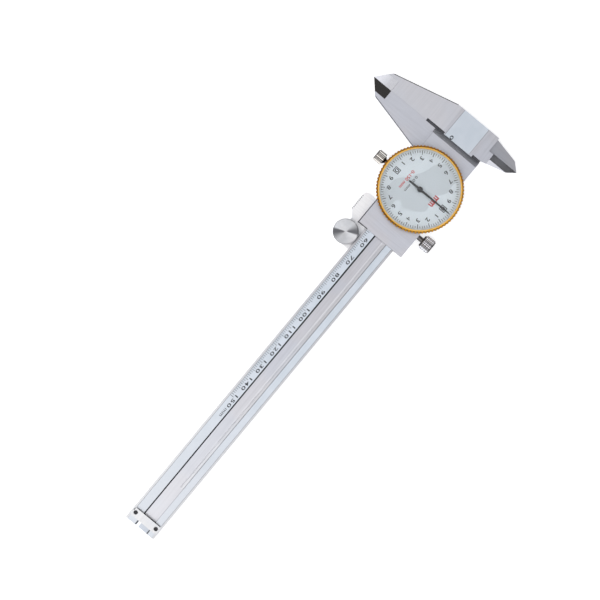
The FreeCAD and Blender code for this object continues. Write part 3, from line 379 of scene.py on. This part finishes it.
def channel(paint, x, y, z):
    """The beam's channel: painted shade in the groove at its lower wall and along its upper wall,
    and painted light on a floor paler towards the end and over the rack's teeth.
    """
    deep = paint.below(z, CHANNEL_EDGE)
    # Painted shade in the run-out groove at the lower wall and along its edge, fading towards the
    # end.
    groove = paint.inside(paint.band(y, -2.9, -2.26), deep, paint.above(z, 2.9))
    paint.over(groove, GROOVE_SHADE)
    groove_edge = paint.inside(paint.band(y, -2.27, -2.10), deep,
                               paint.ramp(x, 60.0, 170.0, 0.8, 0.0))
    paint.over(groove_edge, GROOVE_SHADE)
    # Painted light: the channel's floor paler towards the beam's end.
    bottom = paint.inside(paint.band(y, -2.1, 4.1), deep, paint.ramp(x, 90.0, 215.0, 0.0, 0.5))
    paint.over(bottom, (0.68, 0.68, 0.70))
    # Painted light over the rack's teeth, where their gaps shade the floor.
    rack_side_light = paint.inside(paint.band(y, 1.7, 2.9), deep, paint.band(x, 20.0, 191.0),
                             paint.ramp(x, 90.0, 190.0, 0.4, 0.15))
    paint.over(rack_side_light, (0.86, 0.86, 0.88))
    # Painted shade along the channel's upper wall.
    corner = paint.inside(paint.band(y, 3.83, 4.1), deep, paint.above(x, 20.0),
                          wall_line(paint, x, y))
    paint.over(corner, WALL_SHADE)


def beam_end(paint, x, y):
    """The channel past the end plate: pale, with a painted highlight line below and a painted
    shade line above.
    """
    past_plate = paint.above(x, 219.3)
    bottom = paint.inside(past_plate, paint.band(y, -2.3, 4.0))
    paint.over(bottom, (0.50, 0.53, 0.58))
    # A painted highlight along the floor below, and painted shade along the upper wall.
    paint.over(paint.inside(bottom, paint.band(y, -2.1, -0.85)), (0.90, 0.91, 0.92))
    paint.over(paint.inside(past_plate, paint.band(y, 3.9, 4.35)), (0.06, 0.06, 0.065))


def head_lines(paint, x, y):
    """The fine lines where the satin chrome on the head ends."""
    lines = paint.math("ADD", paint.band(y, -7.58, -7.33), paint.band(y, 6.38, 6.58))
    return paint.inside(lines, paint.below(x, -0.2))


def relief(paint, x, y, z):
    """The relief between the jaws, below their polished faces, where painted shade goes."""
    return paint.inside(paint.band(x, -1.3, 0.42), paint.band(z, 1.4, 3.4),
                        paint.either(paint.band(y, -18.1, -7.9), paint.band(y, 7.4, 12.5)))


def ground_knives(paint, x, y):
    """The knife tips of the outside jaws: smoother than the rest, with painted shade on the fixed
    jaw's that deepens along it, and the moving jaw's painted lighter.
    """
    knives = paint.inside(paint.band(x, -4.8, 4.8), paint.below(y, -38.15))
    paint.set("Roughness", paint.blend(knives, paint.now("Roughness"), 0.16))
    # Painted shade on the fixed jaw's knife facets, deeper along them.
    shade = paint.blend(paint.below(x, 0.0), 1.0, paint.ramp(y, -46.0, -40.0, 0.74, 0.56))
    base = paint.now("Base Color")
    paint.set("Base Color", paint.mix(knives, base, paint.darker(base, shade)))
    # Painted light on the moving jaw's knife facets.
    paint.over(paint.inside(knives, paint.above(x, 0.0)), (0.90, 0.85, 0.82))
    start = paint.inside(paint.band(x, -4.8, -0.1), paint.band(y, -38.35, -38.10))
    paint.over(start, LINE_GREY, 0.5)


def beam_steel():
    """Ground steel with satin chrome on the scale strips and on the head."""
    paint = brushed("beam_steel", (0.55, 0.55, 0.59), 0.30)
    x, y, z = paint.xyz()
    from_middle = paint.math("ABSOLUTE", y)
    satin = satin_chrome(paint, x, y, z)
    channel(paint, x, y, z)
    paint.over(paint.inside(satin, paint.ramp(x, 100.0, 215.0, 0.0, 0.6)), (0.645, 0.655, 0.68))
    fixed_jaw = paint.inside(paint.below(y, -9.0), paint.below(x, 0.0))
    paint.over(fixed_jaw, (0.66, 0.66, 0.69), 0.45)
    # Painted light on the long bevels, growing towards the beam's end.
    long_bevel_light = paint.inside(paint.above(from_middle, 7.0), paint.above(x, 20.0),
                              paint.ramp(x, 40.0, 210.0, 0.36, 1.0))
    paint.over(long_bevel_light, (0.88, 0.88, 0.89))
    paint.over(head_lines(paint, x, y), LINE_GREY, 0.55)
    fixed_blade = paint.inside(paint.above(y, 15.0), paint.below(x, 0.0))
    paint.over(fixed_blade, (0.90, 0.90, 0.95), 0.6)
    # Painted shade along the fixed jaw's outer edge.
    jaw_edge_shade = paint.inside(paint.beside(x, y, (-14.4, -11.2), (-6.6, -42.3), 0.34),
                            paint.band(y, -42.0, -11.2), paint.above(z, BEAM_TOP - EDGE_DEPTH))
    paint.over(jaw_edge_shade, (0.06, 0.06, 0.06))
    # Painted shade along the edges of the scale strips.
    strip_edge_shade = paint.inside(paint.band(from_middle, 6.86, 7.08), paint.band(x, 16.0, 215.0))
    paint.over(strip_edge_shade, (0.26, 0.27, 0.29), 0.6)
    beam_end(paint, x, y)
    # Painted shade in the relief between the jaws.
    paint.over(relief(paint, x, y, z), RELIEF_SHADE)
    ground_knives(paint, x, y)
    return paint


def rack_steel():
    """Ground steel like the channel's floor, painted paler towards the end as light, with painted
    shade along the channel's wall.
    """
    paint = brushed("rack_steel", (0.57, 0.57, 0.60), 0.36)
    x, y, _ = paint.xyz()
    # Painted light: paler towards the beam's end.
    paint.over(paint.ramp(x, 90.0, 200.0, 0.0, 0.75), (0.72, 0.72, 0.74))
    # Painted shade along the channel's wall.
    paint.over(wall_line(paint, x, y), WALL_SHADE)
    return paint


def slider_steel():
    """Ground steel, a little finer than the beam, with painted shade along the edges of the plate
    and the jaw, on the moving blade and in the relief.
    """
    paint = brushed("slider_steel", (0.57, 0.57, 0.61), 0.32, grain=(1.0, 24.0, 1.0),
                    uneven=0.035)
    x, y, z = paint.xyz()
    # Painted shade on the moving inside blade, which sits behind the fixed one.
    blade = paint.inside(paint.above(y, 12.45), paint.below(x, -7.0))
    paint.over(blade, (0.05, 0.055, 0.065), 0.38)
    # Painted shade along the plate's lower edge and its end.
    low_edge = paint.inside(paint.band(y, -12.4, -12.02), paint.ramp(x, 20.0, 30.0, 0.15, 1.0))
    corner_edge = paint.inside(paint.band(x, 54.16, 54.6), paint.below(y, -7.2))
    end_edge = paint.math("MULTIPLY", paint.band(x, 54.36, 54.6), 0.25)
    plate_edge_shade = paint.inside(paint.either(low_edge, corner_edge, end_edge), paint.above(z, 7.6))
    paint.over(plate_edge_shade, (0.05, 0.05, 0.055))
    # Painted shade along the moving jaw's outer edge.
    jaw_edge_shade = paint.inside(paint.beside(x, y, (6.6, -42.3), (13.6, -12.6), 0.36),
                            paint.band(y, -42.0, -12.6), paint.above(z, BEAM_TOP - EDGE_DEPTH))
    paint.over(jaw_edge_shade, (0.08, 0.08, 0.085), 0.8)
    # Painted shade in the relief between the jaws.
    paint.over(relief(paint, x, y, z), RELIEF_SHADE)
    ground_knives(paint, x, y)
    return paint


def gold():
    """Gold plating on the bezel, with painted shade on the rim away from the lit side and in and
    under the notches, and a painted highlight on the lip.
    """
    paint = brushed("bezel_gold", (0.72, 0.37, 0.045), 0.28, EVEN, size=0.25, uneven=0.06)
    x, y, z = paint.xyz()
    dx, dy, radius = paint.about(x, y, (DIAL_X, DIAL_Y))
    angle = paint.math("ARCTAN2", dy, dx)
    teeth = paint.math("COSINE", paint.math("MULTIPLY", angle, float(NOTCHES)))
    # Painted shade on the rim, lightest on the lit side.
    lit_side = paint.math("COSINE", paint.math("SUBTRACT", angle, math.radians(62)))
    rim = paint.inside(paint.ramp(radius, 18.55, 18.95),
                       paint.spread(lit_side, 0.2, 0.9, 0.9, 0.35))
    paint.over(rim, (0.32, 0.125, 0.014))
    # Painted shade in the notches and under the rim.
    notches = paint.inside(paint.spread(teeth, -0.2, 0.6), paint.ramp(radius, 18.66, 18.95))
    shade_under_rim = paint.inside(paint.below(z, 13.85), paint.ramp(radius, 19.08, 19.55, 1.0, 0.0))
    paint.over(paint.either(paint.math("MULTIPLY", notches, 0.9), shade_under_rim),
               (0.07, 0.022, 0.006))
    # A painted highlight on the lip.
    lip = paint.ramp(radius, 18.50, 18.62, 1.0, 0.0)
    paint.over(lip, (0.98, 0.70, 0.28), 0.35)
    return paint


def turned(name, colour, rough, centre=None, radius=5.8):
    """Turned metal: rings about the piece's axis.

    Round a centre it gets a two-winged fan of painted shade, standing in for the reflections of a
    faced surface, and painted shade at the edge, at the radius in millimetres.
    """
    paint = brushed(name, colour, rough, EVEN, size=0.3, uneven=0.04)
    paint.set("Anisotropic", 0.8)
    paint.set("Anisotropic Rotation", 0.25)
    tangent = paint.add("ShaderNodeTangent", direction_type="RADIAL", axis="Z")
    paint.set("Tangent", tangent.outputs[0])
    if centre:
        x, y, _ = paint.xyz()
        dx, dy, away = paint.about(x, y, centre)
        # A painted fan of shade in two wings, standing in for the reflections of the faced
        # surface.
        angle = paint.math("ADD", paint.math("ARCTAN2", dy, dx), math.tau - math.radians(104.7))
        turn = paint.math("MODULO", angle, math.pi)
        fan = paint.inside(paint.spread(turn, 0.0, 0.24), paint.spread(turn, 0.42, 1.35, 1.0, 0.0),
                           paint.ramp(away, 0.2, 1.2, 0.35, 1.0))
        paint.over(fan, (0.11, 0.11, 0.12), 0.93)
        # Painted shade at the edge.
        paint.over(paint.ramp(away, radius - 0.45, radius - 0.15), (0.16, 0.16, 0.17), 0.40)
    return paint


def knob(name, colour, axis, head, high, cross):
    """A knurled head on a screw that lies along Y, with painted shade in the knurl and on the
    neck.

    axis is the screw's centre line in X and Z; head is the Y where the head starts and high
    its radius, in millimetres; cross says that the knurl is cut across as well.
    """
    paint = brushed(name, colour, 0.20, (1.0, 8.0, 1.0), size=0.2, uneven=0.09)
    x, y, z = paint.xyz()
    away = paint.about(x, z, axis)[2]
    # Painted shade in the knurl.
    groove = paint.ramp(away, high - 0.30, high - 0.08, 1.0, 0.0)
    if cross:
        pitch = 1.1 * MM
        rows = paint.math("COSINE", paint.math("MULTIPLY", y, math.tau / pitch))
        rows = paint.math("MULTIPLY", paint.spread(rows, 0.45, 0.9), 0.6)
        groove = paint.either(groove, rows)
    outward = paint.above(paint.math("ABSOLUTE", y), abs(head))
    along_head = paint.band(y, *sorted((head, head * 1.9)))
    paint.over(paint.inside(outward, groove, along_head), (0.10, 0.09, 0.085))
    # Painted shade on the neck.
    neck = paint.math("SUBTRACT", 1.0, outward)
    paint.over(neck, (0.07, 0.06, 0.055), 0.88)
    return paint


def enamel(name, colour, rough):
    """Matt paint with a faint unevenness."""
    paint = Paint(name, metallic=0.0, specular=0.4)
    haze = paint.noise(10.0, detail=0.0)
    grit = paint.noise(0.08, detail=2.0)
    shade = paint.spread(haze, 0.42, 0.60, 1.06, 0.87)
    paint.set("Base Color", paint.darker((*colour, 1.0), shade))
    paint.set("Roughness", paint.spread(haze, 0.3, 0.7, rough - 0.05, rough + 0.05))
    paint.set("Normal", paint.bump(grit, 0.0006))
    return paint


def dial_paint():
    """Pale blue dial paint, with a painted reflection of the crystal, a darker ragged band across
    the middle, and painted light towards the rim.
    """
    paint = Paint("dial_white", metallic=0.0, specular=0.4)
    x, y, _ = paint.xyz()
    dx, dy, radius = paint.about(x, y, (DIAL_X, DIAL_Y))
    # A painted reflection of the crystal: a ragged darker band across the middle.
    across = paint.math("ADD", paint.math("MULTIPLY", dx, -0.575),
                        paint.math("MULTIPLY", dy, -0.818))
    ragged = paint.math("SUBTRACT", paint.noise(9.0, detail=0.0), 0.5)
    ragged = paint.math("MULTIPLY", ragged, 16 * MM)
    off_reflection = paint.ramp(paint.math("ABSOLUTE", paint.math("ADD", across, ragged)), 4.6, 6.2)
    # Painted light towards the rim, where the bezel shades the dial.
    shade = paint.either(paint.spread(off_reflection, 0.0, 1.0, 0.82, 0.98),
                         paint.ramp(radius, 14.0, 17.0))
    grit = paint.noise(0.08, detail=2.0)
    paint.set("Base Color", paint.darker((0.87, 0.945, 1.0, 1.0), shade))
    paint.set("Roughness", paint.spread(off_reflection, 0.0, 1.0, 0.55, 0.45))
    paint.set("Normal", paint.bump(grit, 0.0006))
    return paint


def cover_steel():
    """Pale ground steel on the back, with painted shade in the thumb rest's serrations."""
    paint = brushed("cover_steel", (0.93, 0.935, 0.95), 0.42, (1.0, 30.0, 1.0), uneven=0.03)
    x, y, _ = paint.xyz()
    first, pitch = 43.9 * MM, 0.9 * MM
    turn = paint.math("MULTIPLY", paint.math("SUBTRACT", x, first), math.tau / pitch)
    # Painted shade in the serrations.
    grooves = paint.inside(paint.spread(paint.math("COSINE", turn), 0.0, 0.5),
                           paint.band(x, 43.45, 52.0), paint.below(y, -17.9))
    paint.over(grooves, (0.08, 0.08, 0.085))
    return paint


def end_plate():
    """The bright plate over the beam's end, with a painted shadow along the edges where it starts.
    """
    paint = brushed("plate_steel", (0.76, 0.765, 0.78), 0.40)
    x, y, _ = paint.xyz()
    # A painted shadow along the edges where the plate starts.
    edges = paint.either(paint.below(x, 215.42),
                         paint.inside(paint.below(x, 217.0), paint.below(y, -7.0)))
    paint.over(edges, (0.05, 0.052, 0.058))
    return paint


def glass():
    """The dial's clear cover with the faintest haze."""
    paint = Paint("crystal", metallic=0.0)
    paint.set("Transmission Weight", 1.0)
    paint.set("IOR", 1.3)
    wear = paint.noise(6.0, detail=3.0)
    paint.set("Base Color", paint.mix(wear, (0.97, 0.98, 0.99, 1.0), WHITE))
    paint.set("Roughness", paint.spread(wear, 0.45, 0.75, 0.0, 0.02))
    return paint


PAINTS = {paint.name: paint for paint in (
    beam_steel(),
    slider_steel(),
    rack_steel(),
    end_plate(),
    cover_steel(),
    brushed("rod_steel", (0.53, 0.53, 0.56), 0.28),
    brushed("case_metal", (0.60, 0.59, 0.60), 0.40, EVEN),
    brushed("movement_brass", (0.74, 0.53, 0.24), 0.34),
    brushed("spring_brass", (0.70, 0.47, 0.20), 0.30, EVEN),
    turned("gear_steel", (0.56, 0.55, 0.54), 0.34),
    gold(),
    dial_paint(),
    glass(),
    enamel("pointer_black", (0.035, 0.038, 0.042), 0.42),
    turned("roller_steel", (0.73, 0.73, 0.745), 0.36, ROLLER_CENTRE),
    brushed("knob_nickel", (0.66, 0.63, 0.59), 0.28, EVEN),
    turned("screw_steel", (0.70, 0.70, 0.72), 0.30),
    brushed("screw_black", (0.05, 0.05, 0.055), 0.40, EVEN, uneven=0.10, metallic=0.6),
    knob("lock_knob", (0.88, 0.88, 0.92), LOCK_AXIS, head=15.0, high=3.39, cross=True),
    knob("clamp_knob", (0.84, 0.80, 0.75), CLAMP_AXIS, head=-20.6, high=2.78, cross=False),
    enamel("ink_black", (0.020, 0.022, 0.026), 0.55),
    enamel("ink_red", (0.62, 0.045, 0.04), 0.50),
)}


# Markings

def add_piece(name, mesh, body, paint):
    mesh.materials.append(PAINTS[paint].material)
    piece = bpy.data.objects.new(name, mesh)
    bpy.context.collection.objects.link(piece)
    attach(piece, body)


def prism(outline, z):
    """Points and faces of a mark of ink that stands on the height z."""
    n = len(outline)
    points = [(x, y, z) for x, y in outline] + [(x, y, z + INK) for x, y in outline]
    faces = [tuple(range(n, 2 * n)), tuple(reversed(range(n)))]
    faces += [(i, (i + 1) % n, n + (i + 1) % n, n + i) for i in range(n)]
    return points, faces


def join_marks(name, outlines, z):
    """One mesh of many marks."""
    points, faces = [], []
    for outline in outlines:
        more, sides = prism(outline, z)
        faces += [tuple(i + len(points) for i in side) for side in sides]
        points += more
    mesh = bpy.data.meshes.new(name)
    mesh.from_pydata(points, [], faces)
    return mesh


def glyphs(words, bold=0.0):
    """The letters as a flat mesh at size 1, its centre at the origin, and its size."""
    data = bpy.data.curves.new("letters", "FONT")
    data.body = words
    data.offset = bold
    data.resolution_u = 4
    data.fill_mode = "BOTH"
    letters = bpy.data.objects.new("letters", data)
    bpy.context.collection.objects.link(letters)
    bpy.context.view_layer.update()
    final = letters.evaluated_get(bpy.context.evaluated_depsgraph_get())
    mesh = bpy.data.meshes.new_from_object(final)
    bpy.data.objects.remove(letters)
    bpy.data.curves.remove(data)
    low = [min(v.co[i] for v in mesh.vertices) for i in range(2)]
    high = [max(v.co[i] for v in mesh.vertices) for i in range(2)]
    for v in mesh.vertices:
        v.co.x -= (low[0] + high[0]) / 2
        v.co.y -= (low[1] + high[1]) / 2
    return mesh, high[0] - low[0], high[1] - low[1]


ZERO_SIZE = glyphs("0")[1:]


def join_words(name, words, z):
    """One mesh of many words: each is (text, x, y, width, height, bold) in metres.

    A single digit is scaled as a zero would be to that width and height.
    """
    points, faces = [], []
    for text, x, y, width, height, bold in words:
        mesh, wide, tall = glyphs(text, bold)
        if len(text) == 1:
            wide, tall = ZERO_SIZE
        across, up = width / wide, height / tall
        first = len(points)
        points += [(x + v.co.x * across, y + v.co.y * up, z + INK) for v in mesh.vertices]
        faces += [tuple(i + first for i in p.vertices) for p in mesh.polygons]
        bpy.data.meshes.remove(mesh)
    mesh = bpy.data.meshes.new(name)
    mesh.from_pydata(points, [], faces)
    if mesh.polygons[0].normal.z < 0:
        mesh.flip_normals()
    return mesh


def bar(x, y, width, height):
    """The outline of an upright bar about its middle."""
    return [(x - width / 2, y - height / 2), (x + width / 2, y - height / 2),
            (x + width / 2, y + height / 2), (x - width / 2, y + height / 2)]


def mark_length(step):
    """The length of the scale's mark for this many millimetres, in millimetres."""
    if step % 10 == 0:
        return 1.85
    return 1.55 if step % 5 == 0 else 1.15


def number_shift(step):
    """How far the scale's number stands to the right of its mark, in millimetres."""
    if step == 0:
        return -1.0
    return 1.5 if step >= 100 else 0.0


def add_beam_scale():
    """Millimetre marks from 0 to 150 on the lower strip, with a number every 10."""
    top = BEAM_TOP * MM
    foot = -6.85 * MM
    marks = []
    for step in range(151):
        length = mark_length(step) * MM
        marks.append(bar(step * MM, foot + length / 2, 0.21 * MM, length))
    add_piece("scale_marks", join_marks("scale_marks", marks, top), "beam", "ink_black")

    digit_step = 2.6
    words = []
    for step in range(0, 151, 10):
        text = str(step)
        for place, digit in enumerate(text):
            x = step + number_shift(step) + (place - (len(text) - 1) / 2) * digit_step
            words.append((digit, x * MM, -4.25 * MM, 1.9 * MM, 1.5 * MM, 0.015))
    words.append(("mm", 158.2 * MM, -4.45 * MM, 4.2 * MM, 1.1 * MM, 0.0))
    add_piece("scale_numbers", join_words("scale_numbers", words, top), "beam", "ink_black")


def turn_about_dial(outline, angle):
    """The outline, drawn upwards from the dial's centre, turned clockwise by this angle."""
    c, s = math.cos(-angle), math.sin(-angle)
    return [(DIAL_X + x * c - y * s, DIAL_Y + x * s + y * c) for x, y in outline]


def add_dial_marks():
    """A hundred marks round the dial, the fifths longer, and a box round each zero."""
    rim = 17.3
    marks = []
    for step in range(100):
        inner, wide = (15.5, 0.26) if step % 5 == 0 else (16.2, 0.19)
        outline = bar(0.0, (inner + rim) / 2 * MM, wide * MM, (rim - inner) * MM)
        marks.append(turn_about_dial(outline, math.tau * step / 100))
    box = ((0, 1.3, 2.5, 0.32), (0, -1.3, 2.5, 0.32), (1.1, 0, 0.32, 2.3), (-1.1, 0, 0.32, 2.3))
    for middle in (13.3, -13.3):
        for x, y, wide, tall in box:
            marks.append(bar(DIAL_X + x * MM, DIAL_Y + (middle + y) * MM, wide * MM, tall * MM))
    add_piece("dial_marks", join_marks("dial_marks", marks, DIAL_TOP), "bezel", "ink_black")


def add_dial_words():
    """The numbers 0 to 9 twice round, and the plain words on the dial."""
    words = []
    for place in range(20):
        angle = math.tau * place / 20
        digit = str(place % 10)
        reach = (13.3 if digit == "0" else 13.8) * MM
        x = DIAL_X + reach * math.sin(angle)
        y = DIAL_Y + reach * math.cos(angle)
        words.append((digit, x, y, 1.45 * MM, 1.85 * MM, 0.0 if digit == "4" else 0.015))
    words.append(("0.02 mm", DIAL_X + 0.5 * MM, DIAL_Y - 4.7 * MM, 8.4 * MM, 1.25 * MM, 0.012))
    add_piece("dial_numbers", join_words("dial_numbers", words, DIAL_TOP), "bezel", "ink_black")

    words = [("mm", DIAL_X + 0.15 * MM, DIAL_Y + 8.0 * MM, 5.2 * MM, 2.3 * MM, 0.035),
             ("0-150 mm", DIAL_X + 0.2 * MM, DIAL_Y - 7.4 * MM, 9.6 * MM, 1.55 * MM, 0.02)]
    add_piece("dial_red", join_words("dial_red", words, DIAL_TOP), "bezel", "ink_red")


add_beam_scale()
add_dial_marks()
add_dial_words()

for node in NODES.values():
    for socket in node.material_slots:
        socket.material = PAINTS[socket.material.name.split(".")[0]].material
for name, paint in (("lock_screw", "lock_knob"), ("bezel_clamp_screw", "clamp_knob"),
                    ("centre_arbor", "pointer_black")):
    NODES[name].material_slots[0].material = PAINTS[paint].material
